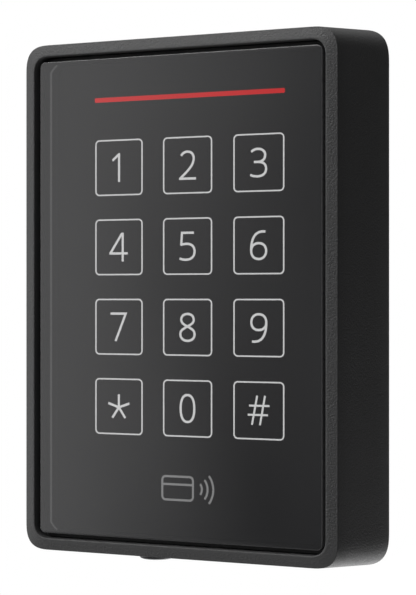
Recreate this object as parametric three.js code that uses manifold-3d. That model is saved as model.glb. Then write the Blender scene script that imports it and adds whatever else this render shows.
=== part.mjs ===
// Keypad access reader on its wall bracket: a flat box that hooks on the bracket and is locked from below.
// Millimetres, +Z up. The origin is the centre of the bracket's back face, the wall is the plane Y = 0,
// and the reader's front looks along -Y. Depths are counted from the front plane towards the wall.
import * as THREE from "three";
import { mergeVertices } from "three/addons/utils/BufferGeometryUtils.js";
import Module from "manifold-3d";

const wasm = await Module();
wasm.setup();

// ---------------------------------------------------------------- driving dimensions
// A pair is the low and the high end of a piece along one direction. "reach" is how far a rounded corner runs
// along each side, and a round piece has its radius where a flat one has width and height.

const FRONT = { width: 104.4, height: 150 };
const BODY_DEPTH = 29.5; // housing, from its front plane to its rear rim
const WALL_GAP = 1.5; // between the rear rim and the wall
const FLARE = 2.05; // how far each side wall leans out over the body's depth
const CORNER = { reach: 8.5, power: 3 }; // outer corners in the front view, squarer than an arc
const GAP = 0.3; // between pieces that touch
const OVERRUN = 1; // how far a cut or a web runs past the face that it meets
const WELD = 0.1; // how far joined shapes run into each other where room is short
const FINE = 8; // segments in a quarter turn of a large corner
const COARSE = 4; // segments in a quarter turn of a small corner or screw
const FEW = 8; // sides of a small hole

// The frame round the window: a narrow flat along its inner edge, then a fall of drop * share ^ crown.
const LAND = { width: 3.5, flat: 0.4, drop: 0.65, crown: 1.1, round: 0.18, steps: 3 };
const POCKET_POWER = 2.5;
const LIP_CHAMFER = 0.2;
const RIM_CHAMFER = 0.5;
const WINDOW = { width: 94.6, height: 140, thickness: 2.1, recess: 0.9, corner: 1.5, bevel: 0.3 };
const SPACER = { thickness: 3.6, play: 0.3, opening: { width: 89.9, height: 138.2, reach: 2.2 } };
const LEGEND = { depth: 7.2, thickness: 1.2 };
const LEDGE = { thickness: 1.5, opening: { width: 88.4, height: 133.4, reach: 3 } };
const CAVITY = { width: 99.2, height: 144.8, reach: 5, end: 24.8 }; // in front of the gasket step
const REAR_RECESS = { width: 102.4, height: 148.2, reach: 6 }; // behind the gasket step

const KEY = { columns: 3, rows: 4, pitchX: 23.6, pitchZ: 23.5, centreZ: 3.2 };
const FILM = { x: [-42, 42], depth: [8.7, 9.1], z: [-47, 54] };
const FILM_TAIL = { x: [10, 22], depth: FILM.depth, z: [-51.5, -46.5] };
const GUIDE = { x: [-38, 38], depth: [9.4, 10.2], z: [-43.5, 50] };
const GUIDE_PAD = { width: 16.5, height: 16.5, reach: 1.5, steps: 2, depth: [10, 13] };
const PANEL_Z = 9.75; // middle of the baffle and of the antenna round it
const BAFFLE = { width: 78, height: 106.5, reach: 3, depth: [10.5, 14.5] };
const BAFFLE_CELL = { width: 17.5, height: 17.5, reach: 1.8, steps: 2 };
const BAFFLE_SLOT = { width: 66, height: 3.4, reach: 0.8, steps: 2 };
const LIGHT_BAR = { width: 63.8, thickness: 0.8, reach: 0.15, z: 58.5, footFront: 9.4, back: 13 };
const LIGHT_BAR_FOOT = { width: LIGHT_BAR.width, height: 2.4, reach: 0.5 };
const LED = { width: 3, height: 1.8, front: 13.6, statusX: [-22, 0, 22] };
const ANTENNA = { width: 86, height: 114.5, reach: 3, coil: [11, 12.6], ferrite: [12.9, 13.5] };
const ANTENNA_OPENING = { width: 79.2, height: 107.7, reach: 2.5 };

const BOARD = { width: 86.4, bottom: -49.5, top: 66, thickness: 1.6, depth: 14.8, reach: 2 };
const PROCESSOR = { x: -20, z: 42, width: 12, height: 12, thickness: 1.4 };
const CARD_RADIO = { x: -2, z: 44, width: 7, height: 7, thickness: 1 };
const CRYSTAL = { x: -2, z: 34, width: 5, height: 3.2, thickness: 1.2 };
const INDUCTOR = { x: 10, z: 14, width: 8, height: 8, thickness: 4.2 };
const SHIELD = { x: 22, z: 42, width: 24, height: 18, thickness: 2.8, wall: 0.4 };
const CAPACITOR = { x: 24, z: 16, radius: 4, thickness: 6.2 };
const BUZZER = { x: -27, z: 14, radius: 7, thickness: 4.6, port: 1.2, portDepth: 1.3 };

const TAMPER = { x: 32, z: -4, size: 8, back: 21.7, well: { radius: 3.1, floor: 17.7 } };
const PLUNGER = { radius: 1.6, front: 19.6, collar: { radius: 2.7, depth: [20.2, 20.9] }, hole: 2.2 };
const SPRING = { radius: 2.6, inner: 1.95, depth: [18, 19.9] };

const TERMINAL = { ways: 8, pitch: 4.2 };
const HEADER = { x: [-19.5, 19.5], back: 24.5, z: [-22, -13.5], wall: 1.5, lip: 1.2 };
const HEADER_PIN = { width: 0.8, depth: [20.2, 21], z: [-20.5, -14.5] };
const PLUG = { x: [-19, 19], depth: [17.3, 25.3], z: [-33.5, -22.3] };
const PLUG_NOSE = { x: [-17.4, 17.4], depth: [18.4, 22.8], z: [-23, -15.3] };
const PLUG_SOCKET = { width: 1.6, depth: [19.8, 21.4], z: [-21.5, -15] };
const PLUG_ENTRY = { width: 2.6, depth: [19.3, 22.3], z: [-34, -29] };
const PLUG_CLAMP = { radius: 1.3, floor: 23.8, z: -26.5 };

const COVER = { width: 101.8, height: 147.6, reach: 5.5, depth: 26, thickness: 2 };
const GASKET = { opening: { width: 99.8, height: 145.4, reach: 5 }, thickness: 0.6 };
const BAY = { width: 48, z: [-46, -12], front: 17.2, wall: 1.2 }; // where the cable is wired
const VENT = { x: -30, z: 34, hole: 1.5, well: 4.4, wellFloor: 1.1, radius: 4, thickness: 0.3 };
const COVER_SCREW = { x: 46.8, z: [58, 0, -58], head: 2.5, shank: 1.15, tip: 16, sunk: 0.2 };
const COVER_SCREW_SEAT = { boss: 3.2, pilot: 1.5, pilotFront: 13, hole: 1.6, well: 2.9, wellFloor: 0.6 };
const BOARD_SCREW = { x: 36, z: [52.5, -38], head: 2.4, height: 1.4, shank: 0.95, tip: 12 };
const BOARD_SCREW_SEAT = { hole: 1.5, pilot: 1.25, pilotFront: 11.3 };
const CROSS = { width: 0.5, length: 2.4, depth: 0.7 }; // recess of these screws

// The bracket hooks into two pockets near the reader's top, and its tab takes the lock screw at the bottom.
const BRACKET = { width: 88, height: 136, reach: 6, thickness: 2 };
const CABLE_WINDOW = { width: 40, reach: 4, z: [-44, -12] };
const WALL_SLOT = { x: 34, z: 50, length: 11, width: 3.9, reach: 1.9, steps: 3 };
const HOOK = { x: 26, width: 12, bottom: 66.5, top: 70.8, thickness: 1.5, reach: 7.2 };
const HOOK_POCKET = { play: 3, z: [64.8, 71.1], slotTop: 68.6, front: 23, wall: 0.9 };
const TAB = { width: 16, bottom: -58, thickness: 2.4, reach: 20, hole: 3 };
const TAB_POCKET = { play: 2.4, z: [-59.5, -54], front: 10.4, wall: 1.2, hole: 3.2 };

// The lock screw stands upright in the bottom wall. Bores and threads are given by their radius.
const LOCK = { x: -15, depth: 15 };
const LOCK_HEAD = { radius: 5.25, under: -75.6, crown: -77.9, edge: 0.6, domeSteps: 3 };
const LOCK_SHANK = { radius: 2.4, tip: -59.4, tipRadius: 1.4, taper: 1.2 };
const LOCK_DRIVE = { radius: 1.7, sides: 6, depth: 1.5, pin: 0.5, pinSunk: 0.2 };
const LOCK_BOSS = { width: 14, depth: 13, z: [-74.5, -61] };
const LOCK_BORE = { head: 5.9, headTop: -69.6, shank: 3, insert: 3.8, insertBottom: -68.6 };
const LOCK_INSERT = { radius: 3.5, bore: 2.75, z: [-68.3, -61.3] };
const LOCK_WASHER = { radius: 4.7, bore: 2.75, z: [-75.3, -74.6] };

// ---------------------------------------------------------------- places that follow from them

const QUARTER = Math.PI / 2;
const WALL_DEPTH = BODY_DEPTH + WALL_GAP;
const FRONT_Y = -WALL_DEPTH;
const LOCK_Y = FRONT_Y + LOCK.depth;

const legendBack = LEGEND.depth + LEGEND.thickness;
const ledgeFront = legendBack + GAP;
const ledgeBack = ledgeFront + LEDGE.thickness;
const boardBack = BOARD.depth + BOARD.thickness;
const onBoard = boardBack + GAP;
const coverBack = COVER.depth + COVER.thickness;
const bracketFront = WALL_DEPTH - BRACKET.thickness;

const pocket = {
  width: FRONT.width - 2 * LAND.width,
  height: FRONT.height - 2 * LAND.width,
  reach: CORNER.reach - LAND.width,
  power: POCKET_POWER,
  steps: FINE,
};

// Places spread evenly about zero.
const spread = (count, pitch) => Array.from({ length: count }, (_, i) => (i - (count - 1) / 2) * pitch);

const keyCentres = spread(KEY.rows, -KEY.pitchZ).flatMap((z) =>
  spread(KEY.columns, KEY.pitchX).map((x) => ({ x, z: KEY.centreZ + z })),
);
const terminalWays = spread(TERMINAL.ways, TERMINAL.pitch);
const inPairs = ({ x, z }) => z.flatMap((height) => [-1, 1].map((side) => ({ x: side * x, z: height })));
const coverScrews = inPairs(COVER_SCREW);
const boardScrews = inPairs(BOARD_SCREW);

// ---------------------------------------------------------------- solids

// A closed three.js geometry as a solid that can be cut and joined.
function solid(geometry) {
  const bare = geometry.index ? geometry.toNonIndexed() : geometry.clone();
  bare.deleteAttribute("normal");
  bare.deleteAttribute("uv");
  const merged = mergeVertices(bare, 1e-4);
  return new wasm.Manifold(
    new wasm.Mesh({
      numProp: 3,
      vertProperties: merged.attributes.position.array,
      triVerts: new Uint32Array(merged.index.array),
    }),
  );
}

const cut = (body, ...tools) => tools.reduce((rest, tool) => rest.subtract(tool), body);
const join = (...bodies) => bodies.reduce((whole, body) => whole.add(body));

// Points of a rectangle with rounded corners, anticlockwise as seen from the front.
// Each corner is |u|^power + |v|^power = 1, so a power of 2 is an arc.
function outline({ width, height, reach, power = 2, steps = FINE }) {
  const turns = [
    (c, s) => [c, s, 1, 1],
    (c, s) => [s, c, -1, 1],
    (c, s) => [c, s, -1, -1],
    (c, s) => [s, c, 1, -1],
  ];
  return turns.flatMap((turn) =>
    Array.from({ length: steps + 1 }, (_, i) => {
      const angle = (i / steps) * QUARTER;
      const [u, v, signX, signZ] = turn(Math.cos(angle), Math.sin(angle));
      const x = width / 2 - reach + reach * Math.pow(Math.max(u, 0), 2 / power);
      const z = height / 2 - reach + reach * Math.pow(Math.max(v, 0), 2 / power);
      return [signX * x, signZ * z];
    }),
  );
}

// A solid through outlines at rising depths, each with the same number of points.
function loft(sections, centre = { x: 0, z: 0 }) {
  const rings = sections.map((section) =>
    outline(section).map(([x, z]) => [centre.x + x, FRONT_Y + section.depth, centre.z + z]),
  );
  const count = rings[0].length;
  const middle = (section) => [centre.x, FRONT_Y + section.depth, centre.z];
  const corners = [];
  for (let j = 0; j < count; j++) {
    const k = (j + 1) % count;
    corners.push(middle(sections[0]), rings[0][j], rings[0][k]);
    for (let i = 0; i + 1 < rings.length; i++) {
      corners.push(rings[i][j], rings[i + 1][j], rings[i + 1][k]);
      corners.push(rings[i][j], rings[i + 1][k], rings[i][k]);
    }
    corners.push(middle(sections.at(-1)), rings.at(-1)[k], rings.at(-1)[j]);
  }
  const geometry = new THREE.BufferGeometry();
  geometry.setAttribute("position", new THREE.Float32BufferAttribute(corners.flat(), 3));
  return solid(geometry);
}

// A plate of constant outline between two depths.
function slab(shape, [front, back], centre) {
  const section = { steps: COARSE, ...shape };
  return loft([{ ...section, depth: front }, { ...section, depth: back }], centre);
}

// A plate with an opening of its own outline.
function frame(outer, opening, [front, back], centre) {
  const through = slab(opening, [front - OVERRUN, back + OVERRUN], centre);
  return cut(slab(outer, [front, back], centre), through);
}

// A box between two corners, in x, y and z.
function box([x0, x1], [y0, y1], [z0, z1]) {
  const geometry = new THREE.BoxGeometry(x1 - x0, y1 - y0, z1 - z0);
  return solid(geometry.translate((x0 + x1) / 2, (y0 + y1) / 2, (z0 + z1) / 2));
}

// A box whose depths are given.
const block = ({ x, depth: [front, back], z }) => box(x, [FRONT_Y + front, FRONT_Y + back], z);

// The pair of ends of a size about its middle.
const around = (middle, size) => [middle - size / 2, middle + size / 2];
const middleOf = ([low, high]) => (low + high) / 2;
const lengthOf = ([low, high]) => high - low;
const grown = ([low, high], by) => [low - by, high + by];

// A round bar along the depth, or a prism when it has few sides.
function bar(radius, [front, back], { x, z }, sides = 4 * COARSE) {
  const geometry = new THREE.CylinderGeometry(radius, radius, back - front, sides);
  return solid(geometry.translate(x, FRONT_Y + (front + back) / 2, z));
}

// A solid of revolution about the lock screw's upright axis, from [radius, z] points that rise.
function turned(profile, sides = 6 * COARSE) {
  const geometry = new THREE.LatheGeometry(profile.map(([r, z]) => new THREE.Vector2(r, z)), sides);
  return solid(geometry.rotateX(QUARTER).translate(LOCK.x, LOCK_Y, 0));
}

// An upright bar on the lock screw's axis.
const upright = (radius, [bottom, top], sides) =>
  turned([[0, bottom], [radius, bottom], [radius, top], [0, top]], sides);

// ---------------------------------------------------------------- materials

const paint = (color, roughness, metalness = 0, more = {}) =>
  new THREE.MeshStandardMaterial({ color, roughness, metalness, ...more });

const MATERIAL = {
  housing: paint("#2b2b2d", 0.62),
  smoked: paint("#141416", 0.12, 0, { transparent: true, opacity: 0.6 }),
  blackPlastic: paint("#161617", 0.55),
  legend: paint("#0f0f10", 0.35),
  film: paint("#8d9aa0", 0.3),
  lightGuide: paint("#dfe4e6", 0.25),
  redLight: paint("#c8323a", 0.35),
  led: paint("#f2ecc4", 0.3),
  board: paint("#1c4a34", 0.45),
  copper: paint("#b8713a", 0.35, 0.9),
  ferrite: paint("#3a3735", 0.7),
  chip: paint("#1b1c1f", 0.5),
  steel: paint("#b9bcc0", 0.35, 0.9),
  brass: paint("#b7974d", 0.35, 0.9),
  rubber: paint("#1f1f20", 0.85),
  terminal: paint("#2f6f47", 0.5),
  bracket: paint("#333436", 0.6),
  darkSteel: paint("#2c2d30", 0.4, 0.8),
  nylon: paint("#d8d8d4", 0.8),
};

const root = new THREE.Group();

function addPiece(name, body, material) {
  const { vertProperties, triVerts } = body.getMesh();
  const geometry = new THREE.BufferGeometry();
  geometry.setAttribute("position", new THREE.BufferAttribute(vertProperties, 3));
  geometry.setIndex(new THREE.BufferAttribute(triVerts, 1));
  const mesh = new THREE.Mesh(geometry, material);
  mesh.name = name;
  root.add(mesh);
}

// ---------------------------------------------------------------- front: housing, window, legends

// The housing's outer outline at a depth, drawn in by an inset.
function housingSection(depth, inset) {
  const lean = (FLARE * depth) / BODY_DEPTH - inset;
  return {
    depth,
    width: FRONT.width + 2 * lean,
    height: FRONT.height + 2 * lean,
    reach: CORNER.reach + lean,
    power: CORNER.power,
  };
}

// The frame's front face, from its inner edge outwards, and the small round at its outer edge.
function landSections() {
  const sections = [housingSection(0, LAND.width)];
  const start = LAND.width - LAND.flat;
  for (let i = 0; i <= LAND.steps; i++) {
    const share = i / LAND.steps;
    const inset = start - (start - LAND.round) * share;
    sections.push(housingSection(LAND.drop * Math.pow(share, LAND.crown), inset));
  }
  for (const angle of [QUARTER / 2, QUARTER]) {
    const depth = LAND.drop + LAND.round * (1 - Math.cos(angle));
    sections.push(housingSection(depth, LAND.round * (1 - Math.sin(angle))));
  }
  return sections;
}

// A sloping cut that takes the sharp edge off the window pocket.
function lipCut() {
  const section = (depth) => {
    const grow = 2 * (LIP_CHAMFER - depth);
    return { ...pocket, width: pocket.width + grow, height: pocket.height + grow, depth };
  };
  return loft([section(-LIP_CHAMFER), section(2 * LIP_CHAMFER)]);
}

// The moulded body without its bosses: outer walls, window pocket, ledge and rear cavity.
function housingShell() {
  const outside = loft([
    ...landSections(),
    housingSection(BODY_DEPTH - RIM_CHAMFER, 0),
    housingSection(BODY_DEPTH, RIM_CHAMFER),
  ]);
  return cut(
    outside,
    lipCut(),
    slab(pocket, [-OVERRUN, ledgeFront]),
    slab(LEDGE.opening, [ledgeFront - OVERRUN, ledgeBack + OVERRUN]),
    slab(CAVITY, [ledgeBack, CAVITY.end + OVERRUN]),
    slab(REAR_RECESS, [CAVITY.end, BODY_DEPTH + OVERRUN]),
  );
}

// A boss for each cover screw, tied to the side wall by a web.
function coverScrewBosses() {
  const { boss } = COVER_SCREW_SEAT;
  const depth = [ledgeBack - GAP, CAVITY.end + WELD];
  return coverScrews.map(({ x, z }) => {
    const wallX = Math.sign(x) * (CAVITY.width / 2 + OVERRUN);
    const span = [Math.min(x, wallX), Math.max(x, wallX)];
    return join(bar(boss, depth, { x, z }), block({ x: span, depth, z: around(z, 2 * boss) }));
  });
}

function housing() {
  const { pilot, pilotFront } = COVER_SCREW_SEAT;
  const pilots = coverScrews.map((at) => bar(pilot, [pilotFront, CAVITY.end + OVERRUN], at, FEW));
  const lockBoss = box(around(LOCK.x, LOCK_BOSS.width), around(LOCK_Y, LOCK_BOSS.depth), LOCK_BOSS.z);
  return cut(
    join(housingShell(), ...coverScrewBosses(), lockBoss),
    ...pilots,
    upright(LOCK_BORE.head, [-FRONT.height / 2 - 2 * FLARE, LOCK_BORE.headTop]),
    upright(LOCK_BORE.shank, [LOCK_BORE.headTop - OVERRUN, LOCK_BORE.insertBottom + OVERRUN]),
    upright(LOCK_BORE.insert, [LOCK_BORE.insertBottom, LOCK_BOSS.z[1] + OVERRUN]),
  );
}

function frontWindow() {
  const { bevel, recess, thickness, corner } = WINDOW;
  const section = (depth, inset) => ({
    depth,
    width: WINDOW.width - 2 * inset,
    height: WINDOW.height - 2 * inset,
    reach: corner - inset,
  });
  return loft([section(recess, bevel), section(recess + bevel, 0), section(recess + thickness, 0)]);
}

function windowSpacer() {
  const front = WINDOW.recess + WINDOW.thickness + GAP;
  const outer = {
    ...pocket,
    width: pocket.width - 2 * SPACER.play,
    height: pocket.height - 2 * SPACER.play,
  };
  return frame(outer, SPACER.opening, [front, front + SPACER.thickness]);
}

function legendPlate() {
  const plate = { width: WINDOW.width, height: WINDOW.height, reach: WINDOW.corner };
  const slot = {
    width: LIGHT_BAR.width + 2 * GAP,
    height: LIGHT_BAR.thickness + 2 * GAP,
    reach: LIGHT_BAR.reach + GAP,
  };
  const through = slab(slot, [LEGEND.depth - OVERRUN, legendBack + OVERRUN], { x: 0, z: LIGHT_BAR.z });
  return cut(slab(plate, [LEGEND.depth, legendBack]), through);
}

const touchFilm = () => join(block(FILM), block(FILM_TAIL));

// ---------------------------------------------------------------- lighting behind the legends

// A clear sheet with one thick pad behind each key.
const keyLightGuide = () =>
  join(block(GUIDE), ...keyCentres.map((at) => slab(GUIDE_PAD, GUIDE_PAD.depth, at)));

// An opaque grid that keeps each key's light to itself.
function lightBaffle() {
  const [front, back] = BAFFLE.depth;
  const through = [front - OVERRUN, back + OVERRUN];
  const { pilot, pilotFront } = BOARD_SCREW_SEAT;
  return cut(
    slab(BAFFLE, BAFFLE.depth, { x: 0, z: PANEL_Z }),
    ...keyCentres.map((at) => slab(BAFFLE_CELL, through, at)),
    slab(BAFFLE_SLOT, through, { x: 0, z: LIGHT_BAR.z }),
    ...boardScrews.map((at) => bar(pilot, [pilotFront, back + OVERRUN], at, FEW)),
  );
}

// A thin nose that shows in the legend plate's slot, on a thicker foot.
function statusLightBar() {
  const { width, thickness, reach, footFront, back, z } = LIGHT_BAR;
  const nose = slab({ width, height: thickness, reach }, [LEGEND.depth, footFront + WELD], { x: 0, z });
  return join(nose, slab(LIGHT_BAR_FOOT, [footFront, back], { x: 0, z }));
}

const led = ({ x, z }) =>
  block({ x: around(x, LED.width), depth: [LED.front, BOARD.depth - GAP], z: around(z, LED.height) });

// ---------------------------------------------------------------- board and what is soldered to it

function mainBoard() {
  const shape = { width: BOARD.width, height: BOARD.top - BOARD.bottom, reach: BOARD.reach };
  const holes = boardScrews.map((at) =>
    bar(BOARD_SCREW_SEAT.hole, [BOARD.depth - OVERRUN, boardBack + OVERRUN], at),
  );
  const middle = { x: 0, z: (BOARD.top + BOARD.bottom) / 2 };
  return cut(slab(shape, [BOARD.depth, boardBack], middle), ...holes);
}

const antennaRing = (depth) => frame(ANTENNA, ANTENNA_OPENING, depth, { x: 0, z: PANEL_Z });

// A flat component on the back of the board.
const chip = ({ x, z, width, height, thickness }) =>
  block({ x: around(x, width), depth: [onBoard, onBoard + thickness], z: around(z, height) });

// A round component on the back of the board.
const roundChip = ({ x, z, radius, thickness }) => bar(radius, [onBoard, onBoard + thickness], { x, z });

// A drawn metal can, open towards the board.
function radioShield() {
  const { x, z, width, height, thickness, wall } = SHIELD;
  const inside = block({
    x: around(x, width - 2 * wall),
    depth: [boardBack, onBoard + thickness - wall],
    z: around(z, height - 2 * wall),
  });
  return cut(chip(SHIELD), inside);
}

function buzzer() {
  const back = onBoard + BUZZER.thickness;
  return cut(roundChip(BUZZER), bar(BUZZER.port, [back - BUZZER.portDepth, back + OVERRUN], BUZZER, FEW));
}

// ---------------------------------------------------------------- tamper switch

function tamperSwitch() {
  const { x, z, size, back, well } = TAMPER;
  const body = block({ x: around(x, size), depth: [onBoard, back], z: around(z, size) });
  return cut(body, bar(well.radius, [well.floor, back + OVERRUN], TAMPER));
}

// The plunger's tip just meets the bracket while the reader is shut.
function tamperPlunger() {
  const { radius, front, collar } = PLUNGER;
  return join(bar(radius, [front, bracketFront - GAP], TAMPER), bar(collar.radius, collar.depth, TAMPER));
}

// A sleeve that stands for the coil spring between the well's floor and the plunger's collar.
const tamperSpring = () =>
  cut(bar(SPRING.radius, SPRING.depth, TAMPER), bar(SPRING.inner, grown(SPRING.depth, OVERRUN), TAMPER));

// ---------------------------------------------------------------- wiring terminal

// One small box for each way of the terminal.
const wayBlocks = ({ width, depth, z }) => terminalWays.map((x) => block({ x: around(x, width), depth, z }));

// The socket on the board: a box open at the bottom, with one pin in it for each way.
function terminalHeader() {
  const { x, back, z, wall, lip } = HEADER;
  const mouth = block({
    x: grown(x, -wall),
    depth: [onBoard + lip, back - lip],
    z: [z[0] - OVERRUN, z[1] - lip],
  });
  return join(cut(block({ x, depth: [onBoard, back], z }), mouth), ...wayBlocks(HEADER_PIN));
}

// The plug: its nose sits in the header, its clamp screws face the wall and its wires leave downwards.
function terminalPlug() {
  const { radius, floor, z } = PLUG_CLAMP;
  const clamps = terminalWays.map((x) => bar(radius, [floor, PLUG.depth[1] + OVERRUN], { x, z }, FEW));
  const wireHoles = wayBlocks(PLUG_ENTRY);
  return cut(join(block(PLUG), block(PLUG_NOSE)), ...wayBlocks(PLUG_SOCKET), ...clamps, ...wireHoles);
}

// ---------------------------------------------------------------- rear: gasket, cover, vent

const rearGasket = () =>
  frame(COVER, GASKET.opening, [CAVITY.end + GAP, CAVITY.end + GAP + GASKET.thickness]);

// The walls of a pocket that stands forward from the cover's plate, round a hollow from x and z.
const pocketWalls = ({ x, z, front, wall }) =>
  block({ x: grown(x, wall), depth: [front - wall, COVER.depth + WELD], z: grown(z, wall) });

const hollowFrom = ({ x, z, front }) => block({ x, depth: [front, coverBack + OVERRUN], z });

// The hook goes in through a slot and rises behind a rib of the cover's plate.
function hookPocket(side) {
  const shape = { ...HOOK_POCKET, x: around(side * HOOK.x, HOOK.width + HOOK_POCKET.play) };
  const slot = hollowFrom({ ...shape, z: [shape.z[0], HOOK_POCKET.slotTop] });
  const behindRib = block({ ...shape, depth: [shape.front, COVER.depth] });
  return { walls: pocketWalls(shape), hollow: join(slot, behindRib) };
}

function tabPocket() {
  const shape = { ...TAB_POCKET, x: around(LOCK.x, TAB.width + TAB_POCKET.play) };
  const shankHole = upright(shape.hole, [shape.z[0] - 2 * shape.wall, shape.z[0] + OVERRUN]);
  return { walls: pocketWalls(shape), hollow: join(hollowFrom(shape), shankHole) };
}

// The wiring bay is open to the front as well, so that the terminal is reached through it.
function wiringBay() {
  const x = around(0, BAY.width);
  const depth = [BAY.front, COVER.depth + WELD];
  return {
    walls: block({ x: grown(x, BAY.wall), depth, z: grown(BAY.z, BAY.wall) }),
    hollow: hollowFrom({ ...BAY, x, front: BAY.front - OVERRUN }),
  };
}

function rearCover() {
  const fromFloor = (floor) => [COVER.depth + floor, coverBack + OVERRUN];
  const through = fromFloor(-OVERRUN);
  const pockets = [hookPocket(-1), hookPocket(1), tabPocket(), wiringBay()];
  const screwHoles = coverScrews.flatMap((at) => [
    bar(COVER_SCREW_SEAT.hole, through, at),
    bar(COVER_SCREW_SEAT.well, fromFloor(COVER_SCREW_SEAT.wellFloor), at),
  ]);
  return cut(
    join(slab(COVER, [COVER.depth, coverBack]), ...pockets.map(({ walls }) => walls)),
    ...pockets.map(({ hollow }) => hollow),
    ...screwHoles,
    bar(VENT.hole, through, VENT, FEW),
    bar(VENT.well, fromFloor(VENT.wellFloor), VENT),
    bar(PLUNGER.hole, through, TAMPER),
  );
}

function ventMembrane() {
  const front = COVER.depth + VENT.wellFloor + GAP;
  return bar(VENT.radius, [front, front + VENT.thickness], VENT);
}

// ---------------------------------------------------------------- fasteners

// A screw driven from the back: a round head with a cross-shaped recess and a plain shank.
function screw(at, { head, shank, tip }, [headFront, headBack]) {
  const recess = [[CROSS.width, CROSS.length], [CROSS.length, CROSS.width]].map(([width, height]) =>
    block({
      x: around(at.x, width),
      depth: [headBack - CROSS.depth, headBack + OVERRUN],
      z: around(at.z, height),
    }),
  );
  const whole = join(bar(head, [headFront, headBack], at), bar(shank, [tip, headFront + WELD], at, FEW));
  return cut(whole, ...recess);
}

function coverScrew(at) {
  const headFront = COVER.depth + COVER_SCREW_SEAT.wellFloor + GAP;
  return screw(at, COVER_SCREW, [headFront, coverBack - COVER_SCREW.sunk]);
}

const boardScrew = (at) => screw(at, BOARD_SCREW, [onBoard, onBoard + BOARD_SCREW.height]);

// ---------------------------------------------------------------- lock: insert, washer, screw

const sleeve = ({ radius, bore, z }) => cut(upright(radius, z), upright(bore, grown(z, OVERRUN)));

// A low domed head with a pinned six-sided recess, and a shank with a tapered tip.
function lockScrew() {
  const { radius, under, crown, edge, domeSteps } = LOCK_HEAD;
  const dome = Array.from({ length: domeSteps + 1 }, (_, i) => {
    const angle = (i / domeSteps) * QUARTER;
    return [radius * Math.sin(angle), under - edge - (under - edge - crown) * Math.cos(angle)];
  });
  const { tip, tipRadius, taper } = LOCK_SHANK;
  const shank = [[LOCK_SHANK.radius, under], [LOCK_SHANK.radius, tip - taper], [tipRadius, tip], [0, tip]];
  const drive = upright(LOCK_DRIVE.radius, [crown - OVERRUN, crown + LOCK_DRIVE.depth], LOCK_DRIVE.sides);
  const pinEnds = [crown + LOCK_DRIVE.pinSunk, crown + LOCK_DRIVE.depth + WELD];
  return join(cut(turned([...dome, [radius, under], ...shank]), drive), upright(LOCK_DRIVE.pin, pinEnds, FEW));
}

// ---------------------------------------------------------------- wall bracket

const throughPlate = [bracketFront - OVERRUN, WALL_DEPTH + OVERRUN];

// Slots for the wall screws, long in one direction so that the bracket can be levelled.
function wallSlots() {
  const { length, width, reach, steps } = WALL_SLOT;
  const across = { width: length, height: width, reach, steps };
  const upwards = { width, height: length, reach, steps };
  return [-WALL_SLOT.x, WALL_SLOT.x].flatMap((x) => [
    slab(across, throughPlate, { x, z: WALL_SLOT.z }),
    slab(upwards, throughPlate, { x, z: -WALL_SLOT.z }),
  ]);
}

function hook(side) {
  const { bottom, top, thickness, reach } = HOOK;
  const span = around(side * HOOK.x, HOOK.width);
  const neck = box(span, [-reach, -BRACKET.thickness / 2], [bottom, bottom + thickness]);
  return join(neck, box(span, [-reach, thickness - reach], [bottom, top]));
}

function wallBracket() {
  const tabEnds = [TAB.bottom, TAB.bottom + TAB.thickness];
  const tab = box(around(LOCK.x, TAB.width), [-TAB.reach, -BRACKET.thickness / 2], tabEnds);
  const cableWindow = { ...CABLE_WINDOW, height: lengthOf(CABLE_WINDOW.z) };
  return cut(
    join(slab(BRACKET, [bracketFront, WALL_DEPTH]), hook(-1), hook(1), tab),
    slab(cableWindow, throughPlate, { x: 0, z: middleOf(CABLE_WINDOW.z) }),
    upright(TAB.hole, grown(tabEnds, OVERRUN)),
    ...wallSlots(),
  );
}

// ---------------------------------------------------------------- assembly

addPiece("wall_bracket", wallBracket(), MATERIAL.bracket);
addPiece("housing", housing(), MATERIAL.housing);
addPiece("front_window", frontWindow(), MATERIAL.smoked);
addPiece("window_spacer", windowSpacer(), MATERIAL.blackPlastic);
addPiece("legend_plate", legendPlate(), MATERIAL.legend);
addPiece("touch_film", touchFilm(), MATERIAL.film);
addPiece("key_light_guide", keyLightGuide(), MATERIAL.lightGuide);
addPiece("light_baffle", lightBaffle(), MATERIAL.blackPlastic);
addPiece("status_light_bar", statusLightBar(), MATERIAL.redLight);
addPiece("main_board", mainBoard(), MATERIAL.board);
keyCentres.forEach((at, i) => addPiece(`key_led_${i + 1}`, led(at), MATERIAL.led));
LED.statusX.forEach((x, i) => addPiece(`status_led_${i + 1}`, led({ x, z: LIGHT_BAR.z }), MATERIAL.led));
addPiece("antenna_coil", antennaRing(ANTENNA.coil), MATERIAL.copper);
addPiece("antenna_ferrite", antennaRing(ANTENNA.ferrite), MATERIAL.ferrite);
addPiece("processor", chip(PROCESSOR), MATERIAL.chip);
addPiece("card_radio_chip", chip(CARD_RADIO), MATERIAL.chip);
addPiece("radio_shield", radioShield(), MATERIAL.steel);
addPiece("crystal", chip(CRYSTAL), MATERIAL.steel);
addPiece("buzzer", buzzer(), MATERIAL.chip);
addPiece("inductor", chip(INDUCTOR), MATERIAL.ferrite);
addPiece("capacitor", roundChip(CAPACITOR), MATERIAL.steel);
addPiece("tamper_switch", tamperSwitch(), MATERIAL.blackPlastic);
addPiece("tamper_spring", tamperSpring(), MATERIAL.steel);
addPiece("tamper_plunger", tamperPlunger(), MATERIAL.nylon);
addPiece("terminal_header", terminalHeader(), MATERIAL.terminal);
addPiece("terminal_plug", terminalPlug(), MATERIAL.terminal);
addPiece("rear_gasket", rearGasket(), MATERIAL.rubber);
addPiece("rear_cover", rearCover(), MATERIAL.blackPlastic);
addPiece("vent_membrane", ventMembrane(), MATERIAL.nylon);
coverScrews.forEach((at, i) => addPiece(`cover_screw_${i + 1}`, coverScrew(at), MATERIAL.steel));
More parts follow.
